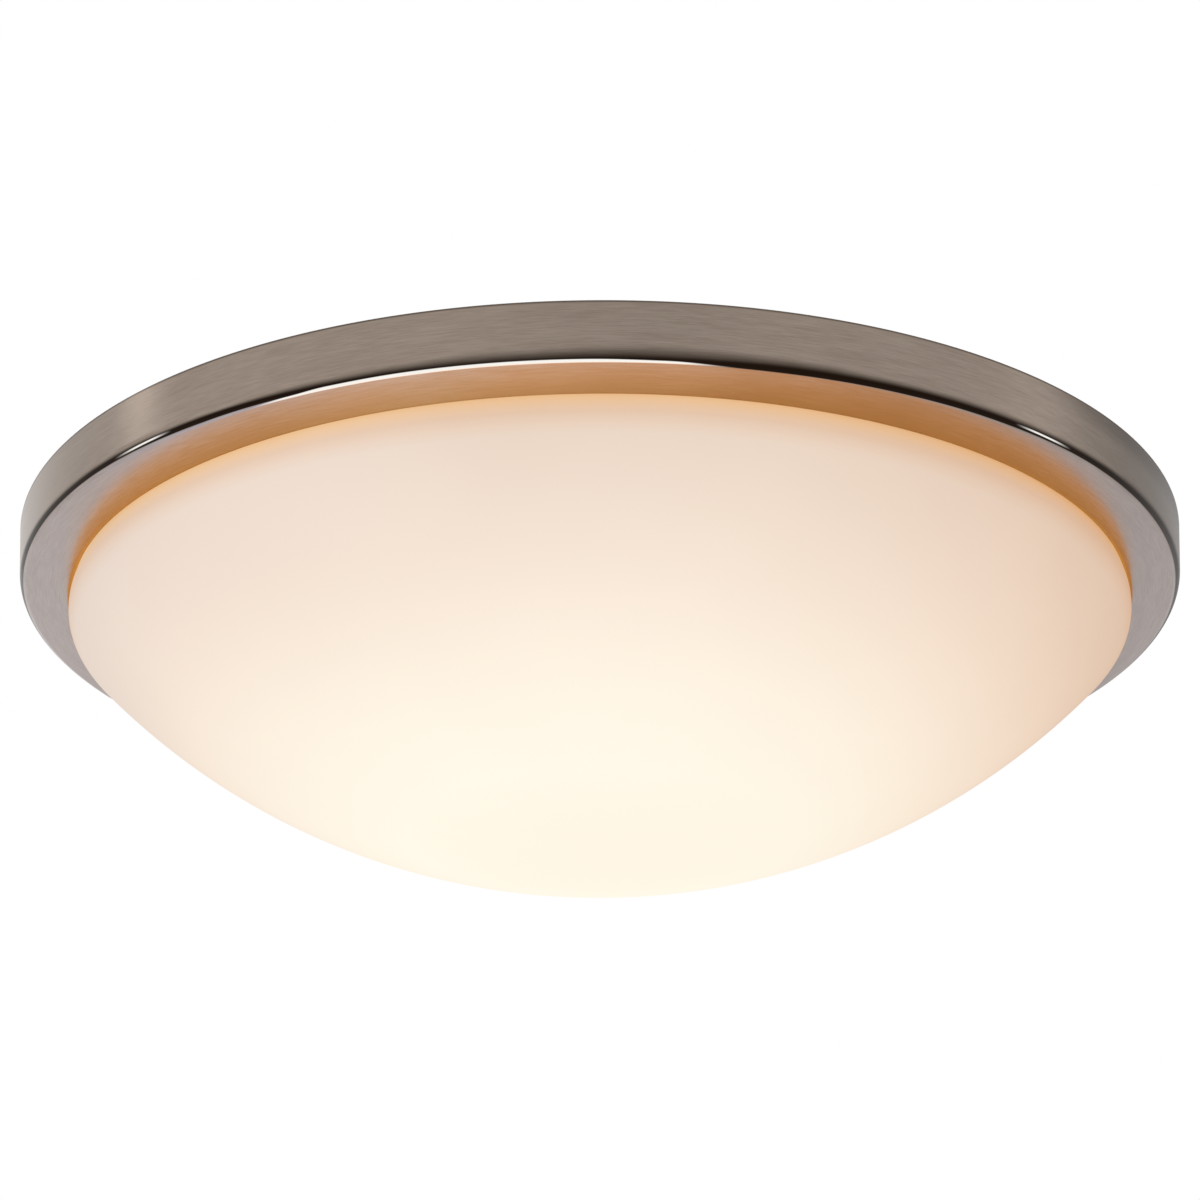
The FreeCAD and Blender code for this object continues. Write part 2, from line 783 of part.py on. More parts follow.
def socket_shell(angle):
    """The pressed screw shell that lines a socket."""
    swing = shell_wave / 2
    inner = shell_crest_radius + swing
    outer = inner + shell_wall
    floor = cavity_floor + shell_wall
    turns = int((socket_front - socket_edge_radius - floor) / thread_pitch)
    start = socket_front - socket_edge_radius - turns * thread_pitch
    end = start + turns * thread_pitch
    steps = [(cavity_floor, outer), (start, outer)]
    steps += wave(start, outer, swing, turns, thread_pitch)
    steps += [(end, inner)]
    steps += wave_back(start, inner, swing, turns, thread_pitch)
    steps += [(floor, inner), (floor, contact_reach + 1)]
    return lamp_part(path_face((cavity_floor, contact_reach + 1), *steps), angle)


def socket_contact(angle):
    """A bent strip on the cavity's floor that springs against the bulb's tip."""
    half_reach = contact_reach - contact_sheet
    skin = [(cavity_floor + contact_rise + contact_sheet, half_reach / 2, 0),
            (cavity_floor + contact_rise + contact_sheet, -half_reach / 4, contact_sheet * 2),
            (cavity_floor + contact_sheet, -half_reach / 2, contact_sheet * 2),
            (cavity_floor + contact_sheet, -half_reach, 0)]
    return on_lamp_axis(across(sheet_face(skin[::-1], contact_sheet), contact_width), angle)


def socket_screws():
    """Two screws from behind each tab into the porcelain."""
    seat = bracket_face - bracket_sheet
    head = socket_screw_head_radius
    face = rounded_face([(seat - socket_screw_head_height, 0, 0),
                         (seat - socket_screw_head_height, head, socket_screw_head_height * 0.6),
                         (seat, head, 0),
                         (seat, socket_screw_radius, 0),
                         (socket_back + socket_screw_length, socket_screw_radius, 0),
                         (socket_back + socket_screw_length, 0, 0)])
    screw = face.revolve(V(0, 0, 0), V(1, 0, 0), 360)
    solids = []
    for angle in lamp_angles:
        for side in (-1, 1):
            copy = screw.copy()
            copy.translate(V(0, 0, side * socket_screw_offset))
            solids.append(on_lamp_axis(copy, angle))
    return group(solids)


def bulb_tip(angle):
    """Centre contact and the insulator that carries it."""
    face = rounded_face([(tip_start, 0, 0),
                         (tip_start, tip_radius, tip_length * 0.7),
                         (tip_end, tip_radius, 0),
                         (insulator_end, tip_insulator_radius, 0),
                         (insulator_end, 0, 0)])
    return lamp_part(face, angle)


def bulb_cap(angle):
    """The threaded cap: a rounded nose against the insulator, the thread and a plain skirt."""
    swing = (cap_crest_radius - cap_root_radius) / 2
    middle = cap_root_radius + swing
    inside = cap_root_radius - cap_wall
    rise = middle - tip_insulator_radius
    steps = [(insulator_end, tip_insulator_radius),
             (insulator_end + cap_nose * 0.35, tip_insulator_radius + rise * 0.7, thread_start, middle)]
    steps += wave(thread_start, middle, swing, cap_thread_count, thread_pitch)
    steps += [(cap_end, middle), (cap_end, inside), (insulator_end + cap_wall, inside),
              (insulator_end + cap_wall, 0)]
    return lamp_part(path_face((insulator_end, 0), *steps), angle)


def bulb_globe(angle):
    """The bulb's glass: a sleeve in the cap, a flared neck and the globe."""
    span = globe_neck_to_centre
    squares = span ** 2 + globe_neck_radius ** 2 - globe_radius ** 2
    flare = squares / (2 * (globe_radius - globe_neck_radius))
    neck_end = globe_centre - span
    flare_centre = (neck_end, globe_neck_radius + flare)
    centre = (globe_centre, 0)
    sleeve = cap_root_radius - cap_wall
    inner_sleeve = sleeve - globe_wall

    def skin(inset):
        meet = toward(centre, flare_centre, globe_radius - inset)
        middle = (bearing(flare_centre, meet) - 90) / 2
        half_flare = turned_from(flare_centre, flare + inset, middle)
        half_globe = turned_from(centre, globe_radius - inset, bearing(centre, meet) / 2)
        tip = (globe_centre + globe_radius - inset, 0)
        return (neck_end, globe_neck_radius - inset), half_flare, meet, half_globe, tip

    neck, half_flare, meet, half_globe, tip = skin(0)
    neck_in, half_flare_in, meet_in, half_globe_in, tip_in = skin(globe_wall)
    face = path_face((cap_end - globe_sleeve_length, sleeve),
                     (cap_end, sleeve),
                     (cap_end, globe_neck_radius),
                     neck,
                     half_flare + meet,
                     half_globe + tip,
                     tip_in,
                     half_globe_in + meet_in,
                     half_flare_in + neck_in,
                     (cap_end + globe_wall, globe_neck_radius - globe_wall),
                     (cap_end + globe_wall, inner_sleeve),
                     (cap_end - globe_sleeve_length, inner_sleeve))
    return lamp_part(face, angle)


# ---- terminal block and leads ----
def terminal_block():
    low = bracket_underside - block_height
    block = Part.makeBox(block_length, block_width, block_height, V(-block_length / 2, -block_width / 2, low))
    uprights = [edge for edge in block.Edges if abs(edge.tangentAt(edge.FirstParameter).z) > 0.99]
    block = block.makeFillet(block_edge, uprights)
    return block.cut([terminal_screw(x, side) for x in terminal_screw_steps() for side in (-1, 1)])


def terminal_screw_steps():
    return (-block_screw_step, 0, block_screw_step)


def terminal_screw(x, side):
    reach = block_width / 2
    start = V(x, side * (reach - 2 * block_screw_radius), bracket_underside - block_height / 2)
    length = 2 * block_screw_radius + block_screw_stand
    return Part.makeCylinder(block_screw_radius, length, start, V(0, side, 0))


def terminal_screws():
    return group([terminal_screw(x, side) for x in terminal_screw_steps() for side in (-1, 1)])


def lead(sideways):
    """One lead: out of a socket's back, round a bend and up to the terminal block."""
    start = V(socket_back + lead_in_socket, sideways, -lamp_depth)
    bend_from = V(lead_drop_distance + lead_bend_radius, sideways, -lamp_depth)
    slack = lead_bend_radius * (1 - math.sqrt(0.5))
    bend_middle = V(lead_drop_distance + slack, sideways, slack - lamp_depth)
    bend_to = V(lead_drop_distance, sideways, lead_bend_radius - lamp_depth)
    end = V(lead_drop_distance, sideways, bracket_underside - block_height)
    path = Part.Wire([Part.LineSegment(start, bend_from).toShape(),
                      Part.Arc(bend_from, bend_middle, bend_to).toShape(),
                      Part.LineSegment(bend_to, end).toShape()])
    section = Part.Wire([Part.Circle(start, V(-1, 0, 0), lead_radius).toShape()])
    tube = path.makePipeShell([section], True, False)
    print("lead: bend radius", lead_bend_radius, "length", round(path.Length, 1),
          "volume ratio", round(tube.Volume / (math.pi * lead_radius ** 2 * path.Length), 4))
    return tube


def leads(sideways):
    one = lead(sideways)
    return group([at_angle(one, angle) for angle in lamp_angles])


# ---- the whole light ----
def pieces():
    found = {
        "trim_ring": trim_ring(),
        "ceiling_pan": ceiling_pan(),
        "ring_brackets": ring_brackets(),
        "ring_screws": ring_screws(),
        "glass_bowl": glass_bowl(),
        "glass_clips": glass_clips(),
        "clip_rivets": clip_rivets(),
        "crossbar_box_bar": crossbar_box_bar(),
        "crossbar_fixture_bar": crossbar_fixture_bar(),
        "crossbar_eyelet": crossbar_eyelet(),
        "mounting_studs": mounting_studs(),
        "stud_nuts": stud_nuts(),
        "ground_screw": ground_screw(),
        "wire_bushing": wire_bushing(),
        "lamp_bracket": lamp_bracket(),
        "bracket_screws": bracket_screws(),
        "terminal_block": terminal_block(),
        "terminal_screws": terminal_screws(),
        "black_leads": leads(-lead_offset),
        "white_leads": leads(lead_offset),
        "socket_screws": socket_screws(),
    }
    for number, angle in enumerate(lamp_angles, start=1):
        found[f"socket_{number}_body"] = socket_body(angle)
        found[f"socket_{number}_shell"] = socket_shell(angle)
        found[f"socket_{number}_contact"] = socket_contact(angle)
        found[f"bulb_{number}_tip"] = bulb_tip(angle)
        found[f"bulb_{number}_cap"] = bulb_cap(angle)
        found[f"bulb_{number}_globe"] = bulb_globe(angle)
    return found


os.makedirs("parts", exist_ok=True)
for name, shape in pieces().items():
    shape.exportStep(f"parts/{name}.step")
    print(name, "solids", len(shape.Solids), "valid", shape.isValid(), "volume", round(shape.Volume, 1))
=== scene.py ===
"""Flush mount ceiling light.

The finishes, the ring and the bowl turned in full detail, the studio and the camera, in metres.
"""

import json
import math

import bmesh
import bpy
from mathutils import Matrix, Vector


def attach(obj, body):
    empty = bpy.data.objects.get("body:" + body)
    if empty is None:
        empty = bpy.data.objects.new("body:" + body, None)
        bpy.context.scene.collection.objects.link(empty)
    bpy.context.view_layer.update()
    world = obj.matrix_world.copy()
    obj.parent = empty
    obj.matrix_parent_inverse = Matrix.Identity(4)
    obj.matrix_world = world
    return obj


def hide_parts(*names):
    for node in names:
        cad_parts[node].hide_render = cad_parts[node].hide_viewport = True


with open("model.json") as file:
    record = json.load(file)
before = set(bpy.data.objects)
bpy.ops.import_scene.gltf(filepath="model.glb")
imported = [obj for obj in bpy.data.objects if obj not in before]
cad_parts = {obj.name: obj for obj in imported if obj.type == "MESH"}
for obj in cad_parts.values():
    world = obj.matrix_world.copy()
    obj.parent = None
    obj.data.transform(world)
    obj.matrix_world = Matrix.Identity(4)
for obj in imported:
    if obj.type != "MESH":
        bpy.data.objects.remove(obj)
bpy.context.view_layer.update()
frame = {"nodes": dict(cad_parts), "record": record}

MM = 0.001

# ---- trim ring, as in the model ----
ring_radius = 210.0 * MM
band_lean = 0.8 * MM
corner_depth = 19.6 * MM
edge_radius = 4.0 * MM
flange_angle = math.radians(14.5)
flange_width = 19.1 * MM
fold_radius = 1.6 * MM
lip_height = 3.4 * MM
ring_sheet = 0.9 * MM

# ---- glass bowl, as in the model ----
glass_overhang = 1.3 * MM
bowl_drop = 116.5 * MM
shoulder_radius = 9.8 * MM
glass_wall = 4.0 * MM
glass_seat_gap = 0.3 * MM
neck_gap = 2.6 * MM
neck_fillet_radius = 2.5 * MM
neck_straight = 1.6 * MM
bead_height = 3.8 * MM
bead_depth = 1.8 * MM
neck_rim_rise = 1.2 * MM

# ---- fineness of the turned meshes ----
turns_round = 384
arc_step = math.radians(6.0)
dome_step = math.radians(0.9)
on_axis = 1e-7                    # nearer to the axis than this, a ring of vertices is one vertex

# ---- worked out from the sizes above; a centre or a place in a section is (r, z) ----
opening_radius = ring_radius - flange_width
fold_depth = corner_depth + flange_width * math.tan(flange_angle)
fold_rise = fold_radius * (math.tan(flange_angle) + 1 / math.cos(flange_angle))
fold_centre = (opening_radius + fold_radius, fold_rise - fold_depth)
neck_radius = opening_radius - neck_gap


# ---- turned meshes ----
def arc(centre, radius, start, end, step=arc_step):
    """Points (r, z) from one angle to another, in radians up from the outward direction."""
    count = max(2, math.ceil(abs(end - start) / step))
    angles = [start + (end - start) * i / count for i in range(count + 1)]
    return [(centre[0] + radius * math.cos(a), centre[1] + radius * math.sin(a)) for a in angles]


def bearing(centre, place):
    """The angle at which a place lies from a centre."""
    return math.atan2(place[1] - centre[1], place[0] - centre[0])


def fillet(before, corner, after, radius):
    """The points that round one corner between two straight lines."""
    here = Vector(corner)
    back = (Vector(before) - here).normalized()
    ahead = (Vector(after) - here).normalized()
    half = back.angle(ahead) / 2
    centre = here + (back + ahead).normalized() * radius / math.sin(half)
    start = bearing(centre, here + back * radius / math.tan(half))
    end = bearing(centre, here + ahead * radius / math.tan(half))
    turn = (end - start + math.pi) % (2 * math.pi) - math.pi
    return arc(centre, radius, start, start + turn)


def rounded(corners):
    """A line through corners (r, z, radius), with each corner rounded by its radius."""
    points = []
    for i, (r, z, radius) in enumerate(corners):
        if radius > 0:
            points += fillet(corners[i - 1][:2], (r, z), corners[i + 1][:2], radius)
        else:
            points.append((r, z))
    return points


def beside(corners, distance):
    """The same bent line, moved to the left of its direction by the sheet's thickness."""
    normals = []
    for (r0, z0, _), (r1, z1, _) in zip(corners, corners[1:]):
        normals.append(Vector((z0 - z1, r1 - r0)).normalized())
    moved = []
    for i, (r, z, radius) in enumerate(corners):
        first = normals[max(i - 1, 0)]
        second = normals[min(i, len(normals) - 1)]
        shift = (first + second) * distance / (1 + first.dot(second))
        turn = first.x * second.y - first.y * second.x
        bent = radius - distance if turn > 0 else radius + distance
        moved.append((r + shift.x, z + shift.y, bent if radius > 0 else 0))
    return moved


def vertex_ring(mesh, r, z):
    if r < on_axis:
        return [mesh.verts.new((0, 0, z))] * turns_round
    angles = [2 * math.pi * i / turns_round for i in range(turns_round)]
    return [mesh.verts.new((r * math.cos(a), r * math.sin(a), z)) for a in angles]


def turned(name, outline, closed):
    """A mesh from an outline (r, z) turned about Z. A closed outline is a hollow ring's section."""
    mesh = bmesh.new()
    rings = [vertex_ring(mesh, r, z) for r, z in outline]
    pairs = list(zip(rings, rings[1:]))
    if closed:
        pairs.append((rings[-1], rings[0]))
    for low, high in pairs:
        for i in range(turns_round):
            j = (i + 1) % turns_round
            corners = []
            for vert in (low[i], low[j], high[j], high[i]):
                if vert not in corners:
                    corners.append(vert)
            mesh.faces.new(corners).smooth = True
    bmesh.ops.recalc_face_normals(mesh, faces=mesh.faces)
    data = bpy.data.meshes.new(name)
    mesh.to_mesh(data)
    mesh.free()
    piece = bpy.data.objects.new(name, data)
    bpy.context.scene.collection.objects.link(piece)
    even = piece.modifiers.new("even_shading", "WEIGHTED_NORMAL")
    even.weight = 100             # the large faces decide
    return piece


def ring_outline():
    """Band, rounded edge, flange and the lip turned up beside the glass, as one bent sheet."""
    skin = [(ring_radius + band_lean, 0, 0),
            (ring_radius, -corner_depth, edge_radius),
            (opening_radius, -fold_depth, fold_radius),
            (opening_radius, -fold_depth + lip_height, 0)]
    inside = beside(skin[::-1], ring_sheet)
    inside[-1] = (inside[-1][0], 0, 0)
    return rounded(skin) + rounded(inside)


def bowl_centres():
    """Centres of the shoulder, the dome and the neck's fillet, and the dome's radius."""
    shoulder_r = opening_radius + glass_overhang - shoulder_radius
    apart = shoulder_radius + fold_radius + glass_seat_gap
    shoulder_z = fold_centre[1] - math.sqrt(apart ** 2 - (fold_centre[0] - shoulder_r) ** 2)
    rise = shoulder_z + bowl_drop
    squares = shoulder_r ** 2 + rise ** 2 - shoulder_radius ** 2
    dome_radius = squares / (2 * (rise - shoulder_radius))
    fillet_r = neck_radius + neck_fillet_radius
    bend = shoulder_radius + neck_fillet_radius
    fillet_z = shoulder_z + math.sqrt(bend ** 2 - (fillet_r - shoulder_r) ** 2)
    dome_z = dome_radius - bowl_drop
    return (shoulder_r, shoulder_z), (0, dome_z), (fillet_r, fillet_z), dome_radius


def bowl_skin(inset):
    """One skin of the bowl: from the lowest point over the dome and the shoulder to the neck."""
    shoulder, dome, neck_fillet, dome_radius = bowl_centres()
    dome_end = bearing(dome, shoulder)
    shoulder_end = bearing(shoulder, neck_fillet)
    points = arc(dome, dome_radius - inset, -math.pi / 2, dome_end, dome_step)
    points += arc(shoulder, shoulder_radius - inset, dome_end, shoulder_end)[1:]
    points += arc(neck_fillet, neck_fillet_radius + inset, shoulder_end + math.pi, math.pi)[1:]
    return points


def bowl_outline():
    """Both skins of the bowl, joined by the bead and the rounded rim at the top of the neck."""
    neck_foot = bowl_centres()[2][1]
    bead_low = neck_foot + neck_straight
    bead_high = bead_low + bead_height
    bulge = (bead_height ** 2 / 4 + bead_depth ** 2) / (2 * bead_depth)
    bead_centre = (neck_radius + bead_depth - bulge, (bead_low + bead_high) / 2)
    bead_start = bearing(bead_centre, (neck_radius, bead_low))
    half_wall = glass_wall / 2
    rim_radius = (half_wall ** 2 + neck_rim_rise ** 2) / (2 * neck_rim_rise)
    rim_centre = (neck_radius - half_wall, bead_high + neck_rim_rise - rim_radius)
    rim_start = bearing(rim_centre, (neck_radius, bead_high))
    points = bowl_skin(0)
    points += arc(bead_centre, bulge, bead_start, -bead_start)
    points += arc(rim_centre, rim_radius, rim_start, math.pi - rim_start)[1:]
    points += bowl_skin(glass_wall)[::-1]
    points[0] = (0, points[0][1])
    points[-1] = (0, points[-1][1])
    return points


# ---- shader building ----
def linear(red, green, blue):
    """A colour written as it is seen, 0 to 255, as the renderer's own values."""
    return tuple(((c / 255 + 0.055) / 1.055) ** 2.4 for c in (red, green, blue)) + (1.0,)


class Board:
    """A node tree with short calls to add and join nodes."""

    def __init__(self, tree):
        self.tree = tree

    def feed(self, node, values):
        """Sets inputs of a node, each to a value or to the socket that drives it."""
        for key, value in values.items():
            if isinstance(value, bpy.types.NodeSocket):
                self.tree.links.new(value, node.inputs[key])
            else:
                node.inputs[key].default_value = value

    def add(self, kind, values=None, **settings):
        node = self.tree.nodes.new(kind)
        for key, value in settings.items():
            setattr(node, key, value)
        self.feed(node, values or {})
        return node

    def group(self, tree, values):
        return self.add("ShaderNodeGroup", values, node_tree=tree).outputs

    # numbers
    def math(self, operation, *values):
        return self.add("ShaderNodeMath", dict(enumerate(values)), operation=operation).outputs[0]

    def times(self, first, second):
        return self.math("MULTIPLY", first, second)

    def ramp(self, value, low, high, new_low=0.0, new_high=1.0, kind="SMOOTHSTEP"):
        values = {"Value": value, "From Min": low, "From Max": high,
                  "To Min": new_low, "To Max": new_high}
        return self.add("ShaderNodeMapRange", values, interpolation_type=kind).outputs["Result"]

    def pick(self, mask, first, second):
        """The first number where the mask is 0, the second where it is 1, and a mix between."""
        return self.ramp(mask, 0, 1, first, second, "LINEAR")

    def between(self, value, starts, full, until, ends):
        """1 between full and until, fading to 0 at starts and ends."""
        return self.times(self.ramp(value, starts, full), self.ramp(value, until, ends, 1, 0))

    def above(self, z, depths):
        """1 above the lesser of two depths below the ceiling, fading to 0 at the greater."""
        return self.ramp(z, -depths[1], -depths[0])

    def curve(self, value, stops):
        """A smooth curve through (value, result) stops."""
        least = min(result for _, result in stops)
        spread = max(result for _, result in stops) - least
        greys = [(at, [(result - least) / spread] * 3) for at, result in stops]
        return self.math("MULTIPLY_ADD", self.colours(value, greys, "EASE"), spread, least)

    # colours
    def mix(self, mask, first, second, kind="MIX"):
        values = {0: mask, 6: first, 7: second}     # by number, because some share a name
        return self.add("ShaderNodeMix", values, data_type="RGBA", blend_type=kind).outputs[2]

    def colours(self, value, stops, interpolation="LINEAR"):
        """The colour at a value, from (value, colour) stops in rising order."""
        low, high = stops[0][0], stops[-1][0]
        fraction = self.ramp(value, low, high, kind="LINEAR")
        node = self.add("ShaderNodeValToRGB", {"Fac": fraction})
        node.color_ramp.interpolation = interpolation
        elements = node.color_ramp.elements         # it has its first and last element already
        for i, (at, colour) in enumerate(stops):
            position = (at - low) / (high - low)
            if 0 < i < len(stops) - 1:
                element = elements.new(position)
            else:
                element = elements[-1 if i else 0]
                element.position = position
            element.color = (*colour, 1.0)
        return node.outputs["Color"]

    # places
    def object_place(self):
        return self.add("ShaderNodeTexCoord").outputs["Object"]

    def split(self, places):
        return self.add("ShaderNodeSeparateXYZ", {"Vector": places}).outputs

    def join(self, x, y, z):
        return self.add("ShaderNodeCombineXYZ", {"X": x, "Y": y, "Z": z}).outputs["Vector"]

    def from_axis(self, x, y):
        values = {0: self.join(x, y, 0.0)}
        return self.add("ShaderNodeVectorMath", values, operation="LENGTH").outputs["Value"]

    def stretched(self, places, scale):
        values = {0: places, 1: scale}
        return self.add("ShaderNodeVectorMath", values, operation="MULTIPLY").outputs["Vector"]

    def noise(self, places, values):
        return self.add("ShaderNodeTexNoise", {"Vector": places, **values}).outputs["Fac"]

    def bump(self, height, strength, distance, over=None):
        values = {"Height": height, "Strength": strength, "Distance": distance}
        if over is not None:
            values["Normal"] = over
        return self.add("ShaderNodeBump", values).outputs["Normal"]


def new_group(name, places, numbers, results):
    """A node group that takes places and numbers and gives numbers."""
    tree = bpy.data.node_groups.new(name, "ShaderNodeTree")
    for sockets, direction, kind in ((places, "INPUT", "NodeSocketVector"),
                                     (numbers, "INPUT", "NodeSocketFloat"),
                                     (results, "OUTPUT", "NodeSocketFloat")):
        for socket in sockets:
            tree.interface.new_socket(name=socket, in_out=direction, socket_type=kind)
    board = Board(tree)
    return board, board.add("NodeGroupInput").outputs, board.add("NodeGroupOutput")


# ---- patterns ----
fine_scratches = {"Scale": 1.0, "Detail": 5.0, "Roughness": 0.65}
broad_scratches = {"Scale": 1.0, "Detail": 2.0, "Roughness": 0.5}
broad_scale = (0.35, 0.35, 0.12)  # against the fine ones: along them, in x and y, and across
fine_share = 0.75
scratch_contrast = (0.34, 0.66)
clouds_noise = {"Detail": 3.0, "Roughness": 0.55}
grain_noise = {"Detail": 2.0, "Roughness": 0.6}
clouds_contrast = (0.3, 0.7)
grain_contrast = (0.25, 0.75)


def make_brushing():
    """Scratches that run round the fixture's axis, on the band and on the flange alike."""
    board, given, result = new_group("brushing", ["Place"], ["Fineness", "Length"], ["Scratches"])
    x, y, z = board.split(given["Place"])
    across = board.times(board.math("SUBTRACT", board.from_axis(x, y), z), given["Fineness"])
    along_x = board.math("DIVIDE", x, given["Length"])
    along_y = board.math("DIVIDE", y, given["Length"])
    places = board.join(along_x, along_y, across)
    fine = board.noise(places, fine_scratches)
    broad = board.noise(board.stretched(places, broad_scale), broad_scratches)
    both = board.math("MULTIPLY_ADD", fine, fine_share, board.times(broad, 1.0 - fine_share))
    board.feed(result, {"Scratches": board.ramp(both, *scratch_contrast)})
    return board.tree


def make_mottle():
    """Soft clouds with fine grain: the unevenness of paint, plating, glaze and moulded plastic."""
    board, given, result = new_group(
        "mottle", ["Place"], ["Cloud Size", "Grain Size"], ["Clouds", "Grain"])
    cloud_scale = board.math("DIVIDE", 1.0, given["Cloud Size"])
    grain_scale = board.math("DIVIDE", 1.0, given["Grain Size"])
    clouds = board.noise(given["Place"], {"Scale": cloud_scale, **clouds_noise})
    grain = board.noise(given["Place"], {"Scale": grain_scale, **grain_noise})
    board.feed(result, {"Clouds": board.ramp(clouds, *clouds_contrast),
                        "Grain": board.ramp(grain, *grain_contrast)})
    return board.tree


def make_edge_angle():
    """How far round the ring's rounded lower edge a point lies: 0 on the band, 75 on the flange."""
    board, given, result = new_group(
        "edge_angle", ["Place"], ["Centre Radius", "Centre Height"], ["Degrees"])
    x, y, z = board.split(given["Place"])
    outward = board.math("SUBTRACT", board.from_axis(x, y), given["Centre Radius"])
    downward = board.math("SUBTRACT", given["Centre Height"], z)
    turn = board.math("ARCTAN2", downward, outward)
    board.feed(result, {"Degrees": board.math("DEGREES", turn)})
    return board.tree


brushing = make_brushing()
mottle = make_mottle()
edge_angle = make_edge_angle()


# ---- finishes with clouds and grain ----
def new_material(name):
    material = bpy.data.materials.new(name)
    material.use_nodes = True
    board = Board(material.node_tree)
    shader = material.node_tree.nodes["Principled BSDF"]
    return material, board, shader


def mottled(board, place, cloud_size, grain_size):
    """The clouds and the grain at a place, each from 0 to 1."""
    values = {"Place": place, "Cloud Size": cloud_size, "Grain Size": grain_size}
    marks = board.group(mottle, values)
    return marks["Clouds"], marks["Grain"]


def plain_finish(name, dark, light, roughness, cloud_size, grain_size, metallic=0.0,
                 relief=(0.0, 0.1 * MM), coat=(0.0, 0.1)):
    """A finish with soft clouds of two tones, and a fine grain in its gloss and relief.

    relief is the grain's strength and depth, and coat is a clear coat's weight and roughness.
    """
    material, board, shader = new_material(name)
    clouds, grain = mottled(board, board.object_place(), cloud_size, grain_size)
    board.feed(shader, {
        "Base Color": board.mix(clouds, linear(*dark), linear(*light)),
        "Roughness": board.pick(grain, *roughness),
        "Normal": board.bump(grain, *relief),
        "Metallic": metallic,
        "Coat Weight": coat[0],
        "Coat Roughness": coat[1]})
    return material


plated = {"metallic": 1.0, "relief": (0.10, 0.02 * MM)}
moulded = {"relief": (0.2, 0.03 * MM)}
sheathed = {"relief": (0.1, 0.03 * MM)}
plain_finishes = {                # tones, roughness, size of the clouds and of the grain, the rest
    "white_enamel": ((226, 226, 222), (236, 236, 233), (0.28, 0.40), 0.06, 0.0016,
                     {"relief": (0.35, 0.1 * MM), "coat": (0.3, 0.15)}),
    "zinc_steel": ((150, 155, 160), (196, 199, 202), (0.28, 0.46), 0.006, 0.0004,
                   {"metallic": 1.0, "relief": (0.15, 0.03 * MM)}),
    "spring_steel": ((120, 124, 130), (158, 161, 166), (0.18, 0.30), 0.010, 0.0003, plated),
    "brass": ((178, 140, 72), (214, 178, 104), (0.22, 0.36), 0.004, 0.0003, plated),
    "brass_nut": ((186, 148, 78), (222, 186, 112), (0.18, 0.30), 0.004, 0.0003, plated),
    "green_screw": ((38, 112, 58), (66, 148, 84), (0.30, 0.44), 0.003, 0.0003,
                    {"metallic": 0.7, "relief": (0.10, 0.02 * MM)}),
    "black_nylon": ((26, 26, 27), (40, 40, 41), (0.48, 0.60), 0.006, 0.0004, moulded),
    "white_nylon": ((214, 212, 202), (226, 224, 215), (0.42, 0.54), 0.008, 0.0004, moulded),
    "black_insulation": ((24, 24, 25), (34, 34, 36), (0.34, 0.44), 0.004, 0.0005, sheathed),
    "white_insulation": ((222, 222, 216), (234, 234, 229), (0.34, 0.44), 0.004, 0.0005, sheathed),
    "porcelain": ((228, 225, 214), (240, 238, 229), (0.20, 0.28), 0.012, 0.0009,
                  {"relief": (0.1, 0.04 * MM), "coat": (0.6, 0.06)}),
    "screw_shell": ((176, 178, 178), (208, 208, 206), (0.20, 0.34), 0.005, 0.0003,
                    {"metallic": 1.0, "relief": (0.12, 0.02 * MM)}),
    "bulb_insulator": ((22, 22, 26), (34, 34, 40), (0.12, 0.20), 0.004, 0.0006,
                       {"relief": (0.05, 0.02 * MM)})}


# ---- brushed nickel ring, with reflections and shade painted into its colour ----
nickel_scratch = (133, 119, 108)
nickel_polish = (148, 135, 124)
nickel_roughness = (0.28, 0.36)
# The same nickel painted lighter on the flange: a painted reflection of the light below it.
flange_lit_scratch = (163, 150, 147)
flange_lit_polish = (176, 164, 161)
flange_roughness = (0.17, 0.23)
scratch_fineness = 3200.0         # scratches per metre across the brushing
scratch_length = 0.009            # along the brushing
scratch_relief = (0.20, 0.02 * MM)
brushed_gloss = 0.75              # how much the brushing draws the gloss out
brushed_turn = 0.25               # a quarter turn, so that it is drawn out across the scratches
flange_dish = (0.22, 0.34)        # slope that polishing adds to the flange, outside and inside
dish_start = 207.5 * MM           # distance from the axis at which that slope begins
top_edge_dark = (96, 85, 77)           # darker along the top of the band, just below the ceiling
top_edge_dark_depth = (0.3 * MM, 0.9 * MM)         # depths below the ceiling over which it ends

# The tables below go along the ring, from its left end at -1 to its right end at 1. They paint
# reflections into the nickel's colour: lighter and darker stretches of the band and the flange, as
# the studio and the glass's light would show in them.
band_reflection_tones = (
    (-1.0, 1.22), (-0.85, 1.02), (-0.5, 1.16), (-0.25, 1.11), (0.0, 1.0), (0.1, 0.97),
    (0.3, 1.02), (0.55, 1.02), (0.70, 1.18), (0.79, 0.94), (0.87, 0.86), (0.97, 0.75), (1.0, 0.70))
flange_reflection_tones = (
    (-1.0, 0.92), (-0.87, 0.90), (-0.57, 0.94), (-0.3, 1.12), (-0.1, 1.14), (0.1, 1.05),
    (0.26, 0.90), (0.5, 0.78), (0.87, 0.73), (1.0, 0.78))
flange_reflection_blues = (                  # painted reflection of the glass's light: paler where that light is less orange
    (-1.0, 1.0), (-0.85, 1.0), (-0.57, 1.32), (-0.42, 1.6), (-0.26, 1.8), (-0.1, 1.55),
    (0.09, 1.4), (0.3, 1.15), (0.5, 1.0), (1.0, 1.0))
flange_green = 0.35               # how much of the added blue the green gets as well
high_shade = 0.56                 # painted shade: how dark the top of the band is painted at its right end
high_shade_reach = (0.60, 0.90)
high_shade_depth = 12.0 * MM
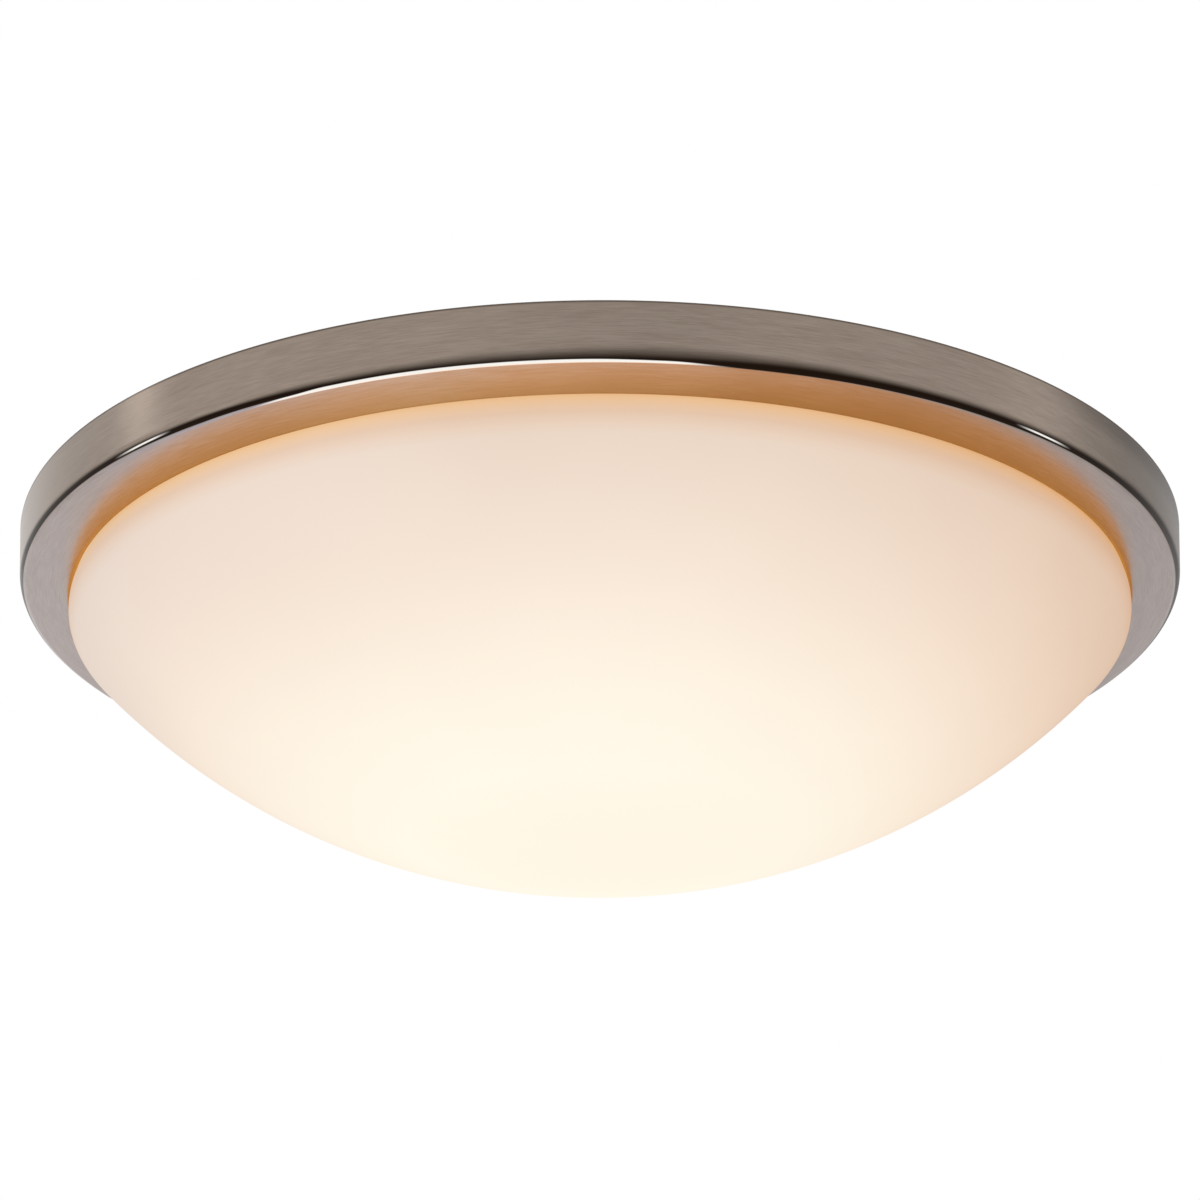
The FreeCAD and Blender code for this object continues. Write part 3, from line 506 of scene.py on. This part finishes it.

# The dark line in the rounded edge, a painted dark reflection: where it starts, is full and ends,
# in degrees round the edge.
edge_centre = (206.0 * MM, -16.52 * MM)       # (r, z) that the degrees are measured round
edge_shade = (30, 20, 14)
shade_starts = (
    (-1.0, 8.0), (-0.85, 12.0), (-0.6, 20.0), (-0.4, 8.0), (-0.15, -14.0), (0.1, -28.0),
    (0.3, -14.0), (0.45, 2.0), (0.6, 6.0), (0.85, 8.0), (1.0, 14.0))
shade_fulls = (
    (-1.0, 26.0), (-0.85, 32.0), (-0.6, 38.0), (-0.4, 46.0), (-0.1, 54.0), (0.1, 50.0),
    (0.3, 42.0), (0.6, 40.0), (0.85, 36.0), (1.0, 32.0))
shade_ends = (
    (-1.0, 46.0), (-0.85, 47.0), (-0.6, 58.0), (-0.3, 62.0), (0.0, 66.0), (0.25, 70.0),
    (0.45, 66.0), (0.6, 62.0), (0.8, 54.0), (1.0, 54.0))
half_cut = 2.0                    # half of the degrees over which it ends
flange_fade = 6.0                 # degrees from there over which the flange's painted lighter colour and its own roughness come in

# The bright lines beside it, painted highlights: where each starts, is full, begins to end and
# ends, along the ring and in degrees round the edge. The near one starts where its own table says.
edge_shine = (252, 248, 243)
left_shine = ((-0.775, -0.73, -0.71, -0.67), (33.0, 37.0, 41.0, 45.0))
right_shine = ((0.65, 0.69, 0.71, 0.75), (37.0, 41.0, 45.0, 49.0))
near_shine_span = (-0.56, -0.48, 0.12, 0.22)
near_shine_starts = (
    (-1.0, 70.0), (-0.56, 68.0), (-0.48, 57.0), (-0.42, 50.0), (-0.3, 48.0), (-0.02, 49.0),
    (0.1, 53.0), (0.22, 65.0), (1.0, 70.0))
near_shine_rise = 5.0
near_shine_end = (68.0, 73.0)


# The band: its nickel streaks times the painted reflections along it, with painted shade at the top
# of its right end.
def band_painted_reflections(board, scratches, across, z):
    metal = board.mix(scratches, linear(*nickel_scratch), linear(*nickel_polish))
    tone = board.curve(across, band_reflection_tones)
    high_right = board.times(board.ramp(z, -high_shade_depth, 0),
                             board.ramp(across, *high_shade_reach))
    tone = board.times(tone, board.ramp(high_right, 0, 1, 1, high_shade))
    return board.mix(1.0, metal, board.join(tone, tone, tone), "MULTIPLY")


# The flange: its lighter-painted nickel streaks times the painted reflections of the studio and the
# glass's light along it.
def flange_painted_reflections(board, scratches, across):
    metal = board.mix(scratches, linear(*flange_lit_scratch), linear(*flange_lit_polish))
    tone = board.curve(across, flange_reflection_tones)
    blue = board.curve(across, flange_reflection_blues)
    green = board.math("MULTIPLY_ADD", blue, flange_green, 1.0 - flange_green)
    tones = board.join(tone, board.times(tone, green), board.times(tone, blue))
    return board.mix(1.0, metal, tones, "MULTIPLY")


def painted_edge_lines(board, metal, across, angle, shade_end):
    """The painted dark reflection and the painted highlights that run along the rounded edge, over
    the metal.
    """
    shaded = board.between(angle, board.curve(across, shade_starts),
                           board.curve(across, shade_fulls),
                           board.math("SUBTRACT", shade_end, half_cut),
                           board.math("ADD", shade_end, half_cut))
    metal = board.mix(shaded, metal, linear(*edge_shade))
    near_start = board.curve(across, near_shine_starts)
    near_full = board.math("ADD", near_start, near_shine_rise)
    near_shine = (near_shine_span, (near_start, near_full, *near_shine_end))
    for span, turn in (near_shine, left_shine, right_shine):
        lit = board.times(board.between(across, *span), board.between(angle, *turn))
        metal = board.mix(lit, metal, linear(*edge_shine))
    return metal


def flange_relief(board, x, y):
    """The normal of the flange, which polishing has dished a little towards the glass."""
    fallen = board.math("SUBTRACT", dish_start, board.from_axis(x, y))
    inward = board.math("MAXIMUM", fallen, 0.0)
    steeper = (flange_dish[1] - flange_dish[0]) / (dish_start - opening_radius) / 2
    slope = board.math("MULTIPLY_ADD", inward, steeper, flange_dish[0])
    height = board.times(board.times(inward, slope), -1.0)
    return board.bump(height, 1.0, 1.0)


def brushed_nickel():
    material, board, shader = new_material("brushed_nickel")
    place = board.object_place()
    x, y, z = board.split(place)
    across = board.math("DIVIDE", x, ring_radius)
    brushed = {"Place": place, "Fineness": scratch_fineness, "Length": scratch_length}
    scratches = board.group(brushing, brushed)["Scratches"]
    middle_r, middle_z = edge_centre
    rounded_edge = {"Place": place, "Centre Radius": middle_r, "Centre Height": middle_z}
    angle = board.group(edge_angle, rounded_edge)["Degrees"]
    shade_end = board.curve(across, shade_ends)
    on_flange = board.ramp(angle, shade_end, board.math("ADD", shade_end, flange_fade))
    # Painted reflections and shade on the band and the flange, the darker top edge, and the painted
    # dark line and highlights of the rounded edge all go into the Base Color.
    band = band_painted_reflections(board, scratches, across, z)
    metal = board.mix(on_flange, band, flange_painted_reflections(board, scratches, across))
    metal = board.mix(board.above(z, top_edge_dark_depth), metal, linear(*top_edge_dark))
    band_roughness = board.pick(scratches, *nickel_roughness)
    inner_roughness = board.pick(scratches, *flange_roughness)
    round_axis = board.add("ShaderNodeTangent", direction_type="RADIAL", axis="Z").outputs[0]
    board.feed(shader, {
        "Base Color": painted_edge_lines(board, metal, across, angle, shade_end),
        "Roughness": board.pick(on_flange, band_roughness, inner_roughness),
        "Metallic": 1.0,
        "Anisotropic": brushed_gloss,
        "Anisotropic Rotation": brushed_turn,
        "Tangent": round_axis,
        "Normal": board.bump(scratches, *scratch_relief, flange_relief(board, x, y))})
    return material


# ---- opal glass ----
opal_dull = (146, 138, 128)
opal_clear = (152, 144, 134)
opal_cloud_size = 0.09
opal_grain_size = 0.0015
opal_roughness = (0.42, 0.50)
opal_relief = (0.05, 0.02 * MM)
glow_stops = (                    # depth below the ceiling in mm, and the light given off there
    (116.5, (0.86, 0.785, 0.670)),
    (106.9, (0.86, 0.810, 0.700)),
    (92.0, (0.84, 0.765, 0.655)),
    (70.0, (0.78, 0.665, 0.565)),
    (50.0, (0.71, 0.585, 0.495)),
    (36.0, (0.665, 0.535, 0.445)),
    (30.0, (0.62, 0.42, 0.29)),
    (25.0, (0.70, 0.42, 0.20)),
    (22.0, (0.68, 0.44, 0.25)),
    (15.0, (0.62, 0.50, 0.38)))
right_tint = (0.87, 0.74, 0.635, 1.0)         # each tint multiplies the glow, in full at its reach
right_tint_reach = 0.19
left_tint = (0.93, 0.945, 0.965, 1.0)
left_tint_reach = (0.14, 0.19)
left_rim_tint = (1.04, 1.075, 1.13, 1.0)
left_rim_reach = (0.02, 0.10)
left_rim_depth = (28.0 * MM, 68.0 * MM)
rim_glow = (1.22, 0.56, 0.15, 1.0)            # what the ring gets from the glass by its edge
left_rim_glow = (1.16, 0.64, 0.26, 1.0)
rim_glow_reach = (-0.18, 0.06)                # from the left one to the right one
rim_glow_depth = (36.0 * MM, 60.0 * MM)
neck_glow = (1.00, 0.43, 0.07, 1.0)           # and from the neck above it
neck_glow_depth = (24.0 * MM, 32.0 * MM)


def seen_glow(board, x, z):
    """The glass's own light: by its depth, warmer to the right and cooler to the left."""
    glow = board.colours(z, [(-depth * MM, colour) for depth, colour in glow_stops])
    right = board.ramp(x, 0.0, right_tint_reach, kind="LINEAR")
    glow = board.mix(board.times(right, right), glow, right_tint, "MULTIPLY")
    left = board.ramp(x, -left_tint_reach[0], -left_tint_reach[1])
    glow = board.mix(left, glow, left_tint, "MULTIPLY")
    left_rim = board.times(board.ramp(x, -left_rim_reach[0], -left_rim_reach[1]),
                           board.above(z, left_rim_depth))
    return board.mix(left_rim, glow, left_rim_tint, "MULTIPLY")


def thrown_glow(board, x, z, glow):
    """The light that falls on the ring, which is warmer where it comes from the rim or the neck."""
    rim = board.mix(board.ramp(x, *rim_glow_reach), left_rim_glow, rim_glow)
    glow = board.mix(board.above(z, rim_glow_depth), glow, rim)
    return board.mix(board.above(z, neck_glow_depth), glow, neck_glow)


def opal_glass():
    material, board, shader = new_material("opal_glass")
    place = board.object_place()
    x, _, z = board.split(place)
    clouds, grain = mottled(board, place, opal_cloud_size, opal_grain_size)
    seen = seen_glow(board, x, z)
    straight = board.add("ShaderNodeLightPath").outputs["Is Camera Ray"]
    board.feed(shader, {
        "Base Color": board.mix(clouds, linear(*opal_dull), linear(*opal_clear)),
        "Emission Color": board.mix(straight, thrown_glow(board, x, z, seen), seen),
        "Emission Strength": 1.0,
        "Roughness": board.pick(grain, *opal_roughness),
        "Specular IOR Level": 0.0,
        "Normal": board.bump(grain, *opal_relief)})
    return material


# ---- frosted glass of the bulbs ----
frost_dull = (189, 183, 174)
frost_clear = (193, 187, 178)
frost_cloud_size = 0.02
frost_grain_size = 0.0008
frost_roughness = (0.30, 0.40)
frost_relief = (0.08, 0.02 * MM)
bulb_glow_dull = (255, 226, 184)
bulb_glow_clear = (255, 229, 190)
bulb_glow_level = 0.55


def bulb_glass():
    material, board, shader = new_material("bulb_glass")
    clouds, grain = mottled(board, board.object_place(), frost_cloud_size, frost_grain_size)
    board.feed(shader, {
        "Base Color": board.mix(clouds, linear(*frost_dull), linear(*frost_clear)),
        "Emission Color": board.mix(clouds, linear(*bulb_glow_dull), linear(*bulb_glow_clear)),
        "Emission Strength": bulb_glow_level,
        "Roughness": board.pick(grain, *frost_roughness),
        "Normal": board.bump(grain, *frost_relief)})
    return material


# ---- each node gets the finish of its slot in the record ----
finishes = {
    "brushed_nickel": brushed_nickel(),
    "opal_glass": opal_glass(),
    "bulb_glass": bulb_glass()}
for slot, (dark, light, roughness, cloud_size, grain_size, others) in plain_finishes.items():
    finishes[slot] = plain_finish(slot, dark, light, roughness, cloud_size, grain_size, **others)

for subpart in frame["record"]["subparts"]:
    node = frame["nodes"][subpart["node"]]
    node.data.materials.clear()
    node.data.materials.append(finishes[subpart["material_slot"]])


# ---- the two turned pieces that replace their solids ----
def dress(name, outline, closed, node, body, slot):
    piece = turned(name, outline, closed)
    piece.data.materials.append(finishes[slot])
    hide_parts(node)
    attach(piece, body)


dress("ring_turned", ring_outline(), True, "trim_ring", "fixture", "brushed_nickel")
dress("bowl_blown", bowl_outline(), False, "glass_bowl", "glass", "opal_glass")


# ---- studio ----
floor_depth = 2.6
floor_radius = 40.0
floor_sides = 96
floor_dull = (187, 187, 185)
floor_clear = (191, 191, 189)
floor_roughness = (0.7, 0.8)
floor_cloud_size = 0.8
floor_grain_size = 0.02
floor_fade = (0.5, 7.0)           # distances from the middle over which the camera sees it whiter
floor_lift = (0.40, 0.60)         # how much whiter it is at each of them
mirrored_floor = 0.50             # how much whiter metal and glass see it
ambient_level = 0.62              # light from all round and below
overhead_level = 1.0              # light from above, which only the top of the fixture sees
overhead_height = 0.7             # how high a direction is, from 0 to 1, to have all of it
dark_corner = 0.62                # share of the white that metal sees in the far right corner
corner_to_right = (0.05, 0.30)    # directions over which that corner starts
corner_to_back = (0.1, 0.6)
white = (1.0, 1.0, 1.0, 1.0)
softboxes = {                     # place, side, and how bright its face looks
    "left_softbox": ((-2.4, 0.30, 1.13), 0.32, 3.4),
    "front_softbox": ((0.9, -2.0, -1.6), 1.2, 0.8)}


def make_floor():
    """A round pale floor that the camera sees turn white away from its middle."""
    mesh = bmesh.new()
    below = Matrix.Translation((0, 0, -floor_depth))
    bmesh.ops.create_circle(mesh, cap_ends=True, segments=floor_sides, radius=floor_radius,
                            matrix=below)
    data = bpy.data.meshes.new("floor")
    mesh.to_mesh(data)
    mesh.free()
    floor = bpy.data.objects.new("floor", data)
    bpy.context.scene.collection.objects.link(floor)
    material = plain_finish("pale_floor", floor_dull, floor_clear, floor_roughness,
                            floor_cloud_size, floor_grain_size)
    board = Board(material.node_tree)
    x, y, _ = board.split(board.object_place())
    rays = board.add("ShaderNodeLightPath").outputs
    lift = board.ramp(board.from_axis(x, y), *floor_fade, *floor_lift)
    seen = board.times(rays["Is Camera Ray"], lift)
    mirrored = board.math("MAXIMUM", rays["Is Glossy Ray"], rays["Is Transmission Ray"])
    board.feed(material.node_tree.nodes["Principled BSDF"], {
        "Emission Color": white,
        "Emission Strength": board.math("MULTIPLY_ADD", mirrored, mirrored_floor, seen)})
    data.materials.append(material)


def make_world():
    """Even light on the object, and plain white where the camera, metal or glass looks past it."""
    world = bpy.data.worlds.new("studio")
    world.use_nodes = True
    bpy.context.scene.world = world
    board = Board(world.node_tree)
    rays = board.add("ShaderNodeLightPath").outputs
    mirrored = board.math("MAXIMUM", rays["Is Glossy Ray"], rays["Is Transmission Ray"])
    seen = board.math("MAXIMUM", rays["Is Camera Ray"], mirrored)
    x, y, z = board.split(board.add("ShaderNodeTexCoord").outputs["Generated"])
    cast = board.ramp(z, 0.0, overhead_height, ambient_level, overhead_level)
    level = board.pick(seen, cast, 1.0)
    corner = board.times(board.ramp(x, *corner_to_right), board.ramp(y, *corner_to_back))
    corner = board.times(corner, rays["Is Glossy Ray"])
    darkened = board.times(level, board.ramp(corner, 0, 1, 1, dark_corner))
    board.feed(world.node_tree.nodes["Background"], {"Color": white, "Strength": darkened})


def add_softbox(name, place, side, radiance):
    """A square lamp aimed at the fixture, its power worked out from how bright its face looks."""
    lamp = bpy.data.lights.new(name, "AREA")
    lamp.shape = "SQUARE"
    lamp.size = side
    lamp.energy = radiance * math.pi * side ** 2
    holder = bpy.data.objects.new(name, lamp)
    holder.location = place
    holder.rotation_euler = (-Vector(place)).to_track_quat("-Z", "Y").to_euler()
    holder.visible_camera = False
    bpy.context.scene.collection.objects.link(holder)


make_floor()
make_world()
for name, (place, side, radiance) in softboxes.items():
    add_softbox(name, place, side, radiance)

# ---- camera ----
camera_distance = 1.4687
camera_below = math.radians(23.08)
camera_roll = math.radians(-0.187)
camera_lens = 120.05              # mm, on a sensor 36 mm wide
sensor_width = 36.0
camera_reach = 60.0               # past the far edge of the floor
aim = Vector((0, 0, -0.016))


def make_camera():
    data = bpy.data.cameras.new("camera")
    data.lens = camera_lens
    data.sensor_width = sensor_width
    data.clip_end = camera_reach
    camera = bpy.data.objects.new("camera", data)
    away = camera_distance * math.cos(camera_below)
    down = camera_distance * math.sin(camera_below)
    camera.location = (0, -away, -down)
    level = (aim - camera.location).to_track_quat("-Z", "Y").to_matrix().to_4x4()
    camera.rotation_euler = (level @ Matrix.Rotation(camera_roll, 4, "Z")).to_euler()
    bpy.context.scene.collection.objects.link(camera)
    bpy.context.scene.camera = camera


make_camera()
bpy.context.scene.view_settings.view_transform = "Standard"
